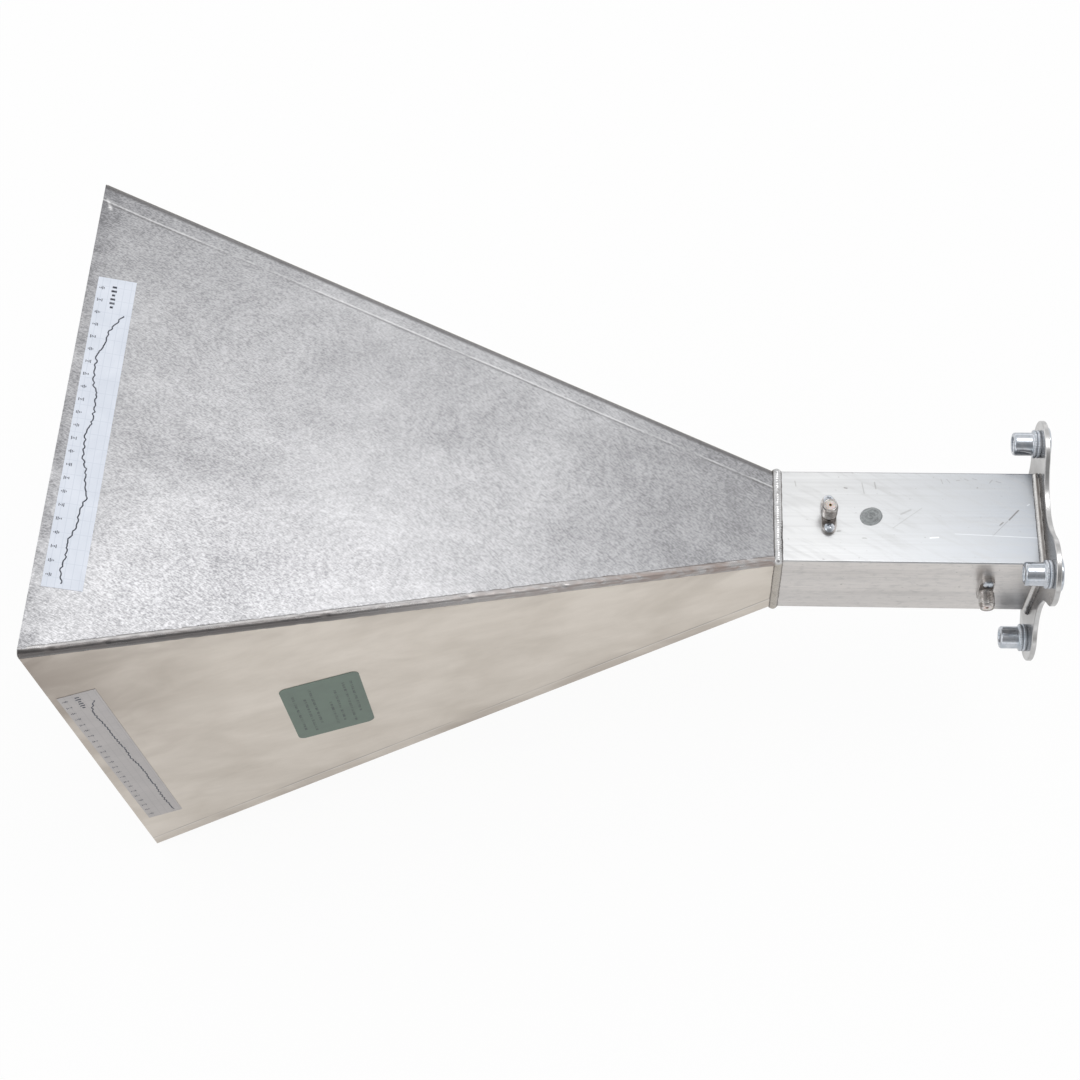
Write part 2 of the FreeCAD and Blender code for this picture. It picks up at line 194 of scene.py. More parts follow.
def drawn_aluminium():
    made, tree, shader = metal("drawn_aluminium")
    here = spot(tree)
    lines = grain(tree, here, (14, 900, 900), 2)
    streaks = grain(tree, here, (5, 130, 130), 4)
    clouds = grain(tree, here, (12, 60, 60), 4)
    along = add(tree, "SeparateXYZ", {0: here}).outputs
    to_plate = ramp(tree, along[0], throat_x + 15 * mm, plate_front)
    below_top = ramp(tree, along[2], tube_half - 0.6 * mm, tube_half - 0.1 * mm, 1.0, 0.0)
    colour = blend(tree, to_plate, tube_pale, tube_blue)
    # Below the top edge the side walls are painted warmer: a painted reflection of the warm surroundings on
    # the same aluminium.
    colour = blend(tree, below_top, colour, tube_side_warm_reflection)
    shade = calc(tree, "MULTIPLY", ramp(tree, streaks, 0.35, 0.75), 0.35)
    colour = blend(tree, shade, colour, tube_grey)
    colour = blend(tree, calc(tree, "MULTIPLY", ramp(tree, lines, 0.45, 0.8), 0.3), colour, tube_grey)
    scuffs = grain(tree, here, (70, 520, 520), 4, 0.4, 28)
    colour = blend(tree, ramp(tree, scuffs, 0.5, 0.75, 0.0, 0.4), colour, tube_grey)
    specks = grain(tree, here, (420, 700, 700), 2, 0.3, 28)
    colour = blend(tree, ramp(tree, specks, 0.7, 0.76, 0.0, 0.5), colour, tube_stain)
    dirt = calc(tree, "MULTIPLY", ramp(tree, clouds, 0.45, 0.75), below_top)
    dirt = calc(tree, "MULTIPLY", dirt, ramp(tree, streaks, 0.4, 0.6, 0.1, 0.35))
    colour = blend(tree, dirt, colour, tube_stain)
    top = marks_on(tree, here, tube_half, tube_marks)
    colour = blend(tree, top, colour, tube_stain)
    glints = marks_on(tree, here, tube_half, tube_glints)
    colour = blend(tree, glints, colour, (0.75, 0.77, 0.79, 1))
    tree.links.new(colour, shader.inputs["Base Color"])
    rough = calc(tree, "ADD", ramp(tree, clouds, 0.3, 0.7, 0.29, 0.34), calc(tree, "MULTIPLY", top, 0.3))
    tree.links.new(rough, shader.inputs["Roughness"])
    height = calc(tree, "SUBTRACT", lines, calc(tree, "MULTIPLY", top, 0.6))
    relief(tree, shader, height, 0.05 * mm, 0.25)
    return made


def dress(node, finish):
    """A finish on a node of the frame, in place of the plain one."""
    mesh = nodes[node].data
    mesh.materials.clear()
    mesh.materials.append(finish)


dress("waveguide_tube", drawn_aluminium())

# End plate. Cut from 2 mm aluminium sheet with four rounded lobes, its edges broken bright by a
# file and its faces left with fine crossing scratches.
plate_pale = (0.56, 0.56, 0.56, 1)
plate_dull = (0.41, 0.40, 0.395, 1)
# Painted shade for the plate's front face next to the tube.
plate_painted_shade = (0.14, 0.13, 0.125, 1)


def plate_aluminium():
    made, tree, shader = metal("plate_aluminium")
    here = spot(tree, 90, 1)
    fine = grain(tree, here, (1500, 60, 60), 2, 0.0, 25)
    crossing = grain(tree, here, (1300, 70, 70), 2, 0.0, -40)
    clouds = grain(tree, here, (70, 70, 70), 4, 1.0)
    scored = calc(tree, "MULTIPLY", calc(tree, "ADD", fine, crossing), 0.5)
    share = ramp(tree, clouds, 0.35, 0.75, 0.0, 0.5)
    share = calc(tree, "ADD", share, ramp(tree, scored, 0.45, 0.7, 0.0, 0.4))
    colour = blend(tree, share, plate_pale, plate_dull)
    flat = add(tree, "VectorMath", {0: here, 1: (1, 1, 0)}, operation="MULTIPLY").outputs[0]
    reach = add(tree, "VectorMath", {0: flat}, operation="LENGTH").outputs["Value"]
    depth = add(tree, "SeparateXYZ", {0: spot(tree)}).outputs[0]
    # The plate's front face next to the tube is darkened: painted shade of the tube and weld on it.
    shaded_by_tube = calc(tree, "MULTIPLY", ramp(tree, reach, 26 * mm, 38 * mm, 0.85, 0.0),
                  ramp(tree, depth, plate_front + 0.05 * mm, plate_front + 0.3 * mm, 1.0, 0.0))
    colour = blend(tree, shaded_by_tube, colour, plate_painted_shade)
    tree.links.new(colour, shader.inputs["Base Color"])
    tree.links.new(ramp(tree, clouds, 0.3, 0.7, 0.18, 0.28), shader.inputs["Roughness"])
    relief(tree, shader, scored, 0.04 * mm, 0.25)
    return made


dress("end_plate", plate_aluminium())

# Weld between tube and plate. One fillet run goes under the tube, up its near side and over its
# top, with close ripples and dark smoke in its foot. The far side was left without one.
weld_root = 0.7 * mm
taper_turn = 0.016
lump_spread = 0.00008
weld_bright = (0.62, 0.61, 0.60, 1)
weld_dark = (0.17, 0.155, 0.145, 1)
fillet_leg = plate_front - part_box("plate_weld_top")[0].x
fillet_core = tube_half - 0.8 * mm
fillet_lumps = [(0.52, 0.8), (0.745, 1.2), (0.77, 0.8), (0.995, 0.7), (1.02, 1.0), (1.21, 0.9)]


def around_tube(turn, rise, core):
    """The point and the outward direction at a share of one turn round the tube."""
    side, share = divmod(turn * 4, 1)
    corner = 0.08
    if share < 1 - corner:
        centre = Vector((0, (2 * share / (1 - corner) - 1) * core, core))
        lean = 0.0
    else:
        centre = Vector((0, core, core))
        lean = math.pi / 2 * (share - 1 + corner) / corner
    outward = Vector((0, math.sin(lean), math.cos(lean)))
    to_side = Matrix.Rotation(-math.pi / 2 * side, 3, "X")
    return to_side @ (centre + outward * (rise - core)), to_side @ outward


def finished(name, bm, finish, slot, *replaced):
    """The mesh as a named piece on the root body, with its finish and the nodes it stands for."""
    mesh = bpy.data.meshes.new(name)
    bm.to_mesh(mesh)
    bm.free()
    mesh.materials.append(finish)
    piece = bpy.data.objects.new(name, mesh)
    scene.collection.objects.link(piece)
    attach(piece, "root")
    if replaced:
        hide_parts(*replaced)
    return piece


def smooth(bm):
    for face in bm.faces:
        face.smooth = True


def thicken(bm, inward):
    """Closes an open sheet into a solid, each point of its back moved by inward(point)."""
    back = bmesh.ops.extrude_face_region(bm, geom=bm.faces[:])["geom"]
    for vertex in back:
        if isinstance(vertex, bmesh.types.BMVert):
            vertex.co = inward(vertex.co)
    bmesh.ops.recalc_face_normals(bm, faces=bm.faces)


def ring_weld(front_foot, back_foot, bulge, core, start, stop, ripples, lumps, seed):
    """A weld run round the tube, from one share of a turn to another, between two feet.

    Each foot is an (x, rise from the axis) pair. A run of less than a turn tapers at both ends.
    """
    bm = bmesh.new()
    bmesh.ops.create_grid(bm, x_segments=int(ripples * 7 * (stop - start)), y_segments=12, size=0.5)
    lean = Vector((front_foot[1] - back_foot[1], back_foot[0] - front_foot[0])).normalized()
    if lean.y < 0:
        lean = -lean
    for vertex in bm.verts:
        turn = start + (vertex.co.x + 0.5) * (stop - start)
        across = vertex.co.y * 2
        round_tube = Vector((math.cos(turn * math.tau), math.sin(turn * math.tau), 0))
        wander = noise.noise(round_tube * 9 + Vector((0, 0, seed)))
        coarse = noise.noise(round_tube * 40 + Vector((0, 0, seed)))
        phase = (turn * ripples + 0.5 * across * across + 0.6 * wander) * math.tau
        lump = sum(size * math.exp(-((turn - at + 0.5) % 1.0 - 0.5) ** 2 / lump_spread)
                   for at, size in lumps)
        swell = 1 + 0.2 * wander + 0.1 * coarse + 0.6 * lump
        dome = 1 - across * across
        proud = bulge * dome * swell + bulge * 0.04 * math.sin(phase) * dome ** 0.5
        wide = across * (1 + 0.1 * wander + 0.06 * coarse)
        if stop - start < 1:
            taper = min(1.0, (turn - start) / taper_turn, (stop - turn) / taper_turn) ** 0.5
            proud *= taper
            wide *= 0.55 + 0.45 * taper
        share = (wide + 1) / 2
        x = front_foot[0] + (back_foot[0] - front_foot[0]) * share + lean.x * proud
        rise = front_foot[1] + (back_foot[1] - front_foot[1]) * share + lean.y * proud
        place, outward = around_tube(turn, rise, core)
        vertex.co = Vector((x, place.y, place.z))
    bmesh.ops.remove_doubles(bm, verts=bm.verts, dist=0.001 * mm)
    middle_x = (front_foot[0] + back_foot[0]) / 2

    def inward(point):
        squeezed = Vector((middle_x + (point.x - middle_x) * 0.8, point.y, point.z))
        shrink = (max(abs(point.y), abs(point.z)) - weld_root) / max(abs(point.y), abs(point.z))
        return Vector((squeezed.x, point.y * shrink, point.z * shrink))

    thicken(bm, inward)
    smooth(bm)
    return bm


def fillet_metal():
    """Weld metal, bright on its crown and dark with smoke in its foot and along its toe."""
    made, tree, shader = metal("fillet_weld", 0.25)
    here = spot(tree)
    along = add(tree, "SeparateXYZ", {0: here}).outputs
    blotches = grain(tree, here, (700, 130, 130), 4, 0.8)
    speckle = grain(tree, here, (1400, 1400, 1400), 3)
    smoke = ramp(tree, along[0], plate_front - 1.35 * mm, plate_front - 0.95 * mm)
    smoke = calc(tree, "MULTIPLY", smoke, ramp(tree, blotches, 0.3, 0.55, 0.65, 1.0))
    fade = ramp(tree, along[0], plate_front - 0.5 * mm, plate_front, 1.0, 0.4)
    smoke = calc(tree, "MULTIPLY", smoke, fade)
    smoke = calc(tree, "MAXIMUM", smoke, calc(tree, "MULTIPLY", ramp(tree, blotches, 0.55, 0.75), 0.3))
    toe_x = plate_front - fillet_leg
    smoke = calc(tree, "MAXIMUM", smoke, ramp(tree, along[0], toe_x, toe_x + 0.35 * mm, 0.9, 0.0))
    tree.links.new(blend(tree, smoke, weld_bright, weld_dark), shader.inputs["Base Color"])
    tree.links.new(ramp(tree, speckle, 0.3, 0.7, 0.18, 0.34), shader.inputs["Roughness"])
    relief(tree, shader, speckle, 0.05 * mm, 0.12)
    return made


fillet = ring_weld((plate_front - fillet_leg, tube_half), (plate_front, tube_half + fillet_leg),
                   0.25 * mm, fillet_core, 0.5, 1.23, 130, fillet_lumps, 3.0)
finished("plate_weld_run", fillet, fillet_metal(), "weld_aluminium",
         "plate_weld_top", "plate_weld_near", "plate_weld_bottom")

# Horn. Two sheets of 2 mm aluminium, each folded once to make two walls, with a line from the die
# beside the fold, drawn with a painted highlight and painted shade. The top wall was gone over with an
# orbital sander, the others are smoother and carry a painted warm reflection.
mouth_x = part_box("horn_sheet_upper")[0].x
mouth_half = 98 * mm
bore_half = tube_half - 2 * mm
flare_slope = (mouth_half - bore_half) / (throat_x - mouth_x)
flare = math.atan(flare_slope)
die_line = 6.2 * mm
die_wander = 2.4 * mm
sides = {"top": 0, "near": 90}
sanded_pale = (0.61, 0.61, 0.625, 1)
sanded_dark = (0.20, 0.20, 0.21, 1)
# The smoother walls' warm beige is a painted reflection of warm surroundings on the same aluminium as the
# top.
milled_pale_beige_reflection = (0.73, 0.675, 0.61, 1)
milled_grey_beige_reflection = (0.54, 0.49, 0.43, 1)
# Stain colour near the corners, also used for painted shade towards the mouth.
milled_stain_and_shade = (0.33, 0.285, 0.25, 1)
# Painted shade, used along the bend of each fold and in the groove beside the die line.
fold_shade = (0.125, 0.12, 0.12, 1)
swirls = [(-257, -48, 60, 300), (-195, 8, 75, 260), (-299, 38, 60, 280), (-329, -55, 45, 300)]
corner_cuts = [((-364.6, 86.6), (-351.6, 94.8), 0.30, 0.7), ((-364.0, 91.5), (-357.0, 90.4), 0.22, 0.35),
               ((-363.5, 92.0), (-361.5, 87.5), 0.8, 0.35), ((-308.5, 77.5), (-306.5, 75.5), 0.5, 0.4)]


def inside_edge(tree, along, first, second):
    """How far a point lies inside a corner of the horn, by its x and the lesser of two others."""
    limit = ramp(tree, along[0], mouth_x, throat_x, mouth_half, bore_half)
    return calc(tree, "SUBTRACT", limit, calc(tree, "MINIMUM", first, second))


def die_marks(tree, point, along, sign):
    """A fine line and a fainter one beside it, on both walls next to the fold at sign Y, sign Z: masks for
    the line's painted highlight and the painted shade beside it.
    """
    inside = inside_edge(tree, along, calc(tree, "MULTIPLY", along[1], sign),
                         calc(tree, "MULTIPLY", along[2], sign))
    wander = grain(tree, point, (9, 9, 9), 1)
    inside = calc(tree, "SUBTRACT", inside, die_line + die_wander / 2)
    inside = calc(tree, "MULTIPLY_ADD", wander, die_wander, inside)
    worn = ramp(tree, grain(tree, point, (45, 45, 45), 3), 0.32, 0.52)
    first = ramp(tree, calc(tree, "ABSOLUTE", inside), 0.14 * mm, 0.42 * mm, 1.0, 0.0)
    beside = calc(tree, "ABSOLUTE", calc(tree, "SUBTRACT", inside, 0.8 * mm))
    second = ramp(tree, beside, 0.14 * mm, 0.6 * mm, 1.0, 0.0)
    return calc(tree, "MULTIPLY", first, worn), calc(tree, "MULTIPLY", second, worn)


def swirl(tree, point, centre_x, centre_y, reach, pitch):
    """Fine arcs round one centre, left by a turn of the sander, fading out at its reach."""
    centre = Vector((centre_x, centre_y, 0)) * mm
    flat = add(tree, "VectorMath", {0: point, 1: (1, 1, 0)}, operation="MULTIPLY").outputs[0]
    gap = add(tree, "VectorMath", {0: flat, 1: centre}, operation="DISTANCE").outputs["Value"]
    wobble = grain(tree, point, (60, 60, 60), 3)
    bent = calc(tree, "MULTIPLY_ADD", wobble, 6 * mm, gap)
    rings = calc(tree, "MULTIPLY", bent, pitch * math.tau)
    arcs = calc(tree, "MULTIPLY_ADD", calc(tree, "SINE", rings), 0.5, 0.5)
    return calc(tree, "MULTIPLY", arcs, ramp(tree, gap, reach * 0.3 * mm, reach * mm, 1.0, 0.0))


def sanded(tree, here, along):
    """Colour, roughness and height of the sanded wall, seen as if it lay flat on Z."""
    clouds = grain(tree, here, (16, 22, 16), 5, 0.8)
    mottle = grain(tree, here, (120, 120, 120), 4, 0.5)
    right = ramp(tree, along[0], mouth_x + 60 * mm, mouth_x + 150 * mm)
    strokes = grain(tree, here, (620, 2600, 620), 3, 0.2, 34)
    crossing = grain(tree, here, (800, 2300, 800), 3, 0.4, 22)
    third = grain(tree, here, (900, 2400, 900), 3, 0.3, -40)
    stroke = add(tree, "Mix", {0: right, 2: crossing, 3: strokes}, data_type="FLOAT").outputs[0]
    stroke = calc(tree, "MULTIPLY_ADD", stroke, 0.65, calc(tree, "MULTIPLY", third, 0.35))
    rings = 0.0
    for values in swirls:
        rings = calc(tree, "MAXIMUM", rings, swirl(tree, here, *values))
    stroke = calc(tree, "ADD", stroke, calc(tree, "MULTIPLY", rings, 0.035))
    tone = ramp(tree, clouds, 0.3, 0.72, 0.25, 0.52)
    tone = calc(tree, "ADD", tone, ramp(tree, mottle, 0.35, 0.7, 0.0, 0.14))
    tone = calc(tree, "ADD", tone, ramp(tree, stroke, 0.4, 0.6, 0.22, -0.22))
    # Darker towards the neck and towards the far corner of the mouth: partly the sanding, partly painted
    # shade of how the overhead light falls on the top.
    tone = calc(tree, "ADD", tone, ramp(tree, along[0], throat_x - 95 * mm, throat_x - 10 * mm, 0.0, 0.19))
    corner = calc(tree, "ADD", along[1], calc(tree, "MULTIPLY", along[0], -0.45))
    tone = calc(tree, "ADD", tone, ramp(tree, corner, 150 * mm, 255 * mm, 0.0, 0.22))
    rim = ramp(tree, along[0], mouth_x + 2 * mm, mouth_x + 9 * mm, 0.2, 0.0)
    tone = calc(tree, "ADD", tone, calc(tree, "MULTIPLY", rim, ramp(tree, mottle, 0.35, 0.6, 0.4, 1.3)))
    colour = blend(tree, tone, sanded_pale, sanded_dark)
    cuts = marks_on(tree, here, mouth_half + 1 * mm, corner_cuts)
    colour = blend(tree, cuts, colour, (1, 1, 1, 1))
    rough = ramp(tree, stroke, 0.35, 0.65, 0.48, 0.34)
    return colour, rough, calc(tree, "SUBTRACT", stroke, cuts)


def milled(tree, here, along):
    """Colour, roughness and height of the smoother walls, with a painted warm reflection and painted shade
    towards the mouth.
    """
    clouds = grain(tree, here, (14, 30, 30), 5, 1.0)
    blotches = grain(tree, here, (32, 55, 55), 5, 0.7)
    lines = grain(tree, here, (40, 420, 420), 3, 0.4)
    fine = grain(tree, here, (700, 900, 900), 3)
    tone = ramp(tree, clouds, 0.32, 0.7, 0.0, 0.5)
    tone = calc(tree, "ADD", tone, ramp(tree, blotches, 0.35, 0.7, 0.0, 0.3))
    tone = calc(tree, "ADD", tone, ramp(tree, lines, 0.35, 0.7, 0.0, 0.1))
    colour = blend(tree, tone, milled_pale_beige_reflection, milled_grey_beige_reflection)
    inside = inside_edge(tree, along, calc(tree, "ABSOLUTE", along[1]), calc(tree, "ABSOLUTE", along[2]))
    stain_and_shade = ramp(tree, inside, 2 * mm, 14 * mm, 0.45, 0.0)
    stain_and_shade = calc(tree, "MULTIPLY", stain_and_shade, ramp(tree, clouds, 0.4, 0.65))
    # Near the corners the wall is stained; towards the mouth, most near the top, it is darkened with painted
    # shade.
    rim = ramp(tree, along[0], mouth_x, mouth_x + 60 * mm, 0.85, 0.0)
    rim = calc(tree, "MULTIPLY", rim, ramp(tree, along[2], -60 * mm, 70 * mm, 0.1, 1.0))
    rim = calc(tree, "MULTIPLY", rim, ramp(tree, blotches, 0.3, 0.6, 0.6, 1.0))
    stain_and_shade = calc(tree, "ADD", stain_and_shade, rim)
    colour = blend(tree, stain_and_shade, colour, milled_stain_and_shade)
    rough = ramp(tree, blotches, 0.3, 0.7, 0.32, 0.44)
    return colour, rough, calc(tree, "MULTIPLY", calc(tree, "ADD", lines, fine), 0.25)


def folded_sheet(name, sign):
    """The finish of one folded sheet, whose fold lies at sign Y, sign Z."""
    made, tree, shader = metal(name)
    here = spot(tree)
    along = add(tree, "SeparateXYZ", {0: here}).outputs
    colour, rough, height = milled(tree, here, along)
    if sign > 0:
        on_top = calc(tree, "SUBTRACT", along[2], calc(tree, "ABSOLUTE", along[1]))
        on_top = ramp(tree, on_top, -0.4 * mm, 1.2 * mm)
        top_colour, top_rough, top_height = sanded(tree, here, along)
        colour = blend(tree, on_top, colour, top_colour)
        rough = add(tree, "Mix", {0: on_top, 2: rough, 3: top_rough}, data_type="FLOAT").outputs[0]
        height = add(tree, "Mix", {0: on_top, 2: height, 3: top_height}, data_type="FLOAT").outputs[0]
    line, beside = die_marks(tree, here, along, sign)
    in_fold = inside_edge(tree, along, along[1], along[2])
    # Painted shade along the bend of the fold.
    colour = blend(tree, ramp(tree, in_fold, 0.5 * mm, 1.5 * mm, 0.75, 0.0), colour, fold_shade)
    # The die line is a real mark: the groove beside it is painted dark as shade, and the line itself pale as
    # a painted highlight.
    colour = blend(tree, calc(tree, "MULTIPLY", beside, 0.45), colour, fold_shade)
    colour = blend(tree, calc(tree, "MULTIPLY", line, 0.4), colour, (0.85, 0.85, 0.85, 1))
    tree.links.new(colour, shader.inputs["Base Color"])
    tree.links.new(rough, shader.inputs["Roughness"])
    relief(tree, shader, calc(tree, "SUBTRACT", height, calc(tree, "MULTIPLY", beside, 0.5)), 0.12 * mm, 0.3)
    return made


dress("horn_sheet_upper", folded_sheet("sheet_upper", 1))
dress("horn_sheet_lower", folded_sheet("sheet_lower", -1))

# Corner seams. Where the two folded sheets meet edge to edge they are welded from outside. The bead
# is dressed down with a file, flattest at the mouth, and is left dark on one side and nicked.
seam_bright = (0.60, 0.59, 0.59, 1)
seam_brown = (0.28, 0.22, 0.195, 1)
seam_dark = (0.11, 0.105, 0.105, 1)
top_lap = 0.7 * mm
side_lap = 1.5 * mm
seam_bulge = 2.1 * mm
ground_bulge = 1.25 * mm
sheet_rise = 2 * mm / math.cos(flare)
seam_run = throat_x - mouth_x - 2 * mm * math.sin(flare)
ground_end = 10 * mm
seam_nicks = [(0.962, 0.5), (0.895, 0.35), (0.625, 0.45), (0.44, 0.3), (0.31, 0.25)]


def corner_bead(seed):
    """A dressed weld along the top near corner, built from the neck to the mouth."""
    bm = bmesh.new()
    bmesh.ops.create_grid(bm, x_segments=420, y_segments=10, size=0.5)
    for vertex in bm.verts:
        share = vertex.co.x + 0.5
        across = vertex.co.y * 2
        run = share * seam_run
        wander = noise.noise(Vector((run * 60, 0, seed)))
        coarse = noise.noise(Vector((run * 300, across, seed)))
        fine = noise.noise(Vector((run * 900, across * 2, seed)))
        nick = sum(depth * math.exp(-((share - at) / 0.004) ** 2) for at, depth in seam_nicks)
        dome = 1 - across * across
        proud = min(1.0, (seam_run - run) / ground_end)
        bulge = (ground_bulge + (seam_bulge - ground_bulge) * proud) * dome
        bulge *= 1 + (0.08 * wander + 0.05 * coarse) * proud - 0.4 * nick
        bulge += 0.05 * mm * fine * dome
        wide = across * (1 + 0.05 * wander + 0.05 * coarse)
        outward = sheet_rise - (sheet_rise + top_lap) * (wide + 1) / 2 + bulge * 0.7071
        upward = -side_lap + (sheet_rise + side_lap) * (wide + 1) / 2 + bulge * 0.7071
        widen = run * flare_slope
        vertex.co = Vector((throat_x - run, -bore_half - outward - widen, bore_half + upward + widen))

    def inward(point):
        widen = (throat_x - point.x) * flare_slope
        root = Vector((point.x, -bore_half - widen, bore_half + widen))
        return root.lerp(point, 0.45)

    thicken(bm, inward)
    smooth(bm)
    return bm


def seam_metal(name, turn, dark_along):
    """Dressed weld: bright crown, a dark lower flank and brown stains towards the neck."""
    made, tree, shader = metal(name, 0.3)
    here = spot(tree, -turn)
    along = add(tree, "SeparateXYZ", {0: here}).outputs
    lean = calc(tree, "ADD", along[1], along[2])
    blotches = grain(tree, here, (90, 400, 400), 4, 1.0)
    filed = grain(tree, here, (60, 2200, 2200), 3)
    flank = calc(tree, "ADD", lean, calc(tree, "MULTIPLY_ADD", blotches, 0.5 * mm, -0.25 * mm))
    flank = ramp(tree, flank, 2.2 * mm, 1.5 * mm)
    stretch = ramp(tree, along[0], mouth_x + 95 * mm, mouth_x + 160 * mm, 1.0, 0.45)
    colour = blend(tree, calc(tree, "MULTIPLY", calc(tree, "MULTIPLY", flank, stretch), dark_along),
                   seam_bright, seam_dark)
    brown = ramp(tree, along[0], throat_x - 150 * mm, throat_x - 40 * mm, 0.1, 0.75)
    brown = calc(tree, "MULTIPLY", brown, ramp(tree, blotches, 0.35, 0.6))
    colour = blend(tree, brown, colour, seam_brown)
    tree.links.new(colour, shader.inputs["Base Color"])
    tree.links.new(ramp(tree, blotches, 0.3, 0.7, 0.22, 0.42), shader.inputs["Roughness"])
    relief(tree, shader, filed, 0.06 * mm, 0.3)
    return made


for pair, turn, seed, dark_along in (("top_near", 0, 11.0, 0.95), ("bottom_far", 180, 18.0, 0.4)):
    seam = corner_bead(seed)
    bmesh.ops.rotate(seam, verts=seam.verts, cent=(0, 0, 0),
                     matrix=Matrix.Rotation(math.radians(turn), 3, "X"))
    finished("seam_" + pair, seam, seam_metal("seam_metal_" + pair, turn, dark_along),
             "weld_aluminium", "corner_seam_" + pair)

# Weld between horn and tube. A low bead in one run round the joint, laid with close ripples, with
# dark edges and with lumps at the corners where it starts and stops.
neck_reach = 1.8 * mm
neck_foot = (throat_x + neck_reach, tube_half)
neck_back = (throat_x - neck_reach, bore_half + sheet_rise + neck_reach * flare_slope)
neck_core = tube_half - 1.0 * mm
neck_lumps = [(0.235, 0.9), (0.262, 1.1), (0.012, 0.8), (0.515, 0.8), (0.74, 0.8), (0.99, 1.0), (0.965, 0.7)]
neck_bright = (0.57, 0.57, 0.575, 1)
neck_tan = (0.43, 0.38, 0.315, 1)


def neck_metal():
    made, tree, shader = metal("neck_weld", 0.24)
    here = spot(tree)
    along = add(tree, "SeparateXYZ", {0: here}).outputs
    blotches = grain(tree, here, (240, 240, 240), 4, 1.0)
    speckle = grain(tree, here, (1500, 1500, 1500), 3)
    from_joint = calc(tree, "ABSOLUTE", calc(tree, "SUBTRACT", along[0], throat_x))
    edge = ramp(tree, from_joint, neck_reach * 0.62, neck_reach * 0.9, 0.0, 0.9)
    low = ramp(tree, along[2], tube_half - 1.2 * mm, tube_half - 0.2 * mm, 0.7, 0.0)
    colour = blend(tree, low, neck_bright, neck_tan)
    colour = blend(tree, ramp(tree, blotches, 0.52, 0.75, 0.0, 0.45), colour, weld_dark)
    colour = blend(tree, edge, colour, weld_dark)
    tree.links.new(colour, shader.inputs["Base Color"])
    tree.links.new(ramp(tree, speckle, 0.3, 0.7, 0.16, 0.32), shader.inputs["Roughness"])
    relief(tree, shader, speckle, 0.04 * mm, 0.08)
    return made


neck = ring_weld(neck_back, neck_foot, 0.7 * mm, neck_core, 0, 1, 170, neck_lumps, 8.0)
finished("neck_weld_run", neck, neck_metal(), "weld_aluminium",
         "neck_weld_top", "neck_weld_near", "neck_weld_bottom", "neck_weld_far")

# Rivet nuts. Zinc-plated steel inserts for M6 screws, pulled tight in the plate's lobes. The
# folded bulge keeps the fine ribs that grip the sheet, and the front half holds the thread.
nut_low, nut_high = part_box("rivet_nut_1")
nut_centre = (nut_low + nut_high) / 2
nut_front = -nut_low.x
nut_ribs = 34
rib_depth = 0.3 * mm
thread_crest = 2.5 * mm
thread_root = 3.0 * mm
thread_pitch = 1.0 * mm
thread_start = 7.1 * mm
zinc_bright = (0.60, 0.62, 0.66, 1)
zinc_blue = (0.44, 0.48, 0.53, 1)
zinc_dull = (0.25, 0.27, 0.28, 1)
nut_outline = [
    (3.3, 0), (5.9, 0), (6.25, 0.08), (6.45, 0.25), (6.5, 0.5), (6.5, 1.2), (6.4, 1.5), (4.5, 1.5),
    (4.5, 3.5), (5.05, 3.52), (5.35, 3.66), (5.48, 3.9), (5.5, 4.2), (5.48, 4.5), (5.35, 4.74),
    (5.05, 4.88), (5.05, 4.92), (5.35, 5.06), (5.48, 5.3), (5.5, 5.6), (5.48, 5.9), (5.3, 6.16),
    (4.95, 6.32), (4.65, 6.55), (4.52, 6.75), (4.5, 6.95), (4.5, 7.1), (4.5, 12.7), (4.5, 12.85),
    (4.44, 13.2), (4.25, 13.53), (3.95, 13.75), (3.6, 13.8), (3.15, 13.8), (3.0, 13.65), (3.0, 7.1),
    (3.3, 6.8),
]
nut_thread_run = 34


def turned_solid(outline, steps, fine_run=None, rows=0):
    """A closed bmesh turned about Z from (radius, height) corners, with one run cut into rows."""
    bm = bmesh.new()
    corners = [bm.verts.new(Vector((radius, 0, height)) * mm) for radius, height in outline]
    runs = [bm.edges.new((a, b)) for a, b in zip(corners, corners[1:] + corners[:1])]
    if rows:
        bmesh.ops.subdivide_edges(bm, edges=[runs[fine_run]], cuts=rows)
    bmesh.ops.spin(bm, geom=bm.verts[:] + bm.edges[:], cent=(0, 0, 0), axis=(0, 0, 1), dvec=(0, 0, 0),
                   angle=2 * math.pi, steps=steps, use_merge=True)
    bmesh.ops.recalc_face_normals(bm, faces=bm.faces)
    smooth(bm)
    return bm


def set_radius(vertex, radius):
    angle = math.atan2(vertex.co.y, vertex.co.x)
    vertex.co.x = radius * math.cos(angle)
    vertex.co.y = radius * math.sin(angle)


def cut_thread(bm, bottom, top, bore, crest, root, pitch):
    """A helical thread on the wall at radius bore, between two heights."""
    for vertex in bm.verts:
        radius = math.hypot(vertex.co.x, vertex.co.y)
        if abs(radius - bore) < 0.01 * mm and bottom < vertex.co.z < top:
            turn = math.atan2(vertex.co.y, vertex.co.x) / (2 * math.pi)
            saw = abs(2 * ((vertex.co.z / pitch - turn) % 1.0) - 1)
            fade = min(1.0, (top - vertex.co.z) / (0.8 * pitch), (vertex.co.z - bottom) / (0.8 * pitch))
            set_radius(vertex, bore + (crest + (root - crest) * saw - bore) * fade)


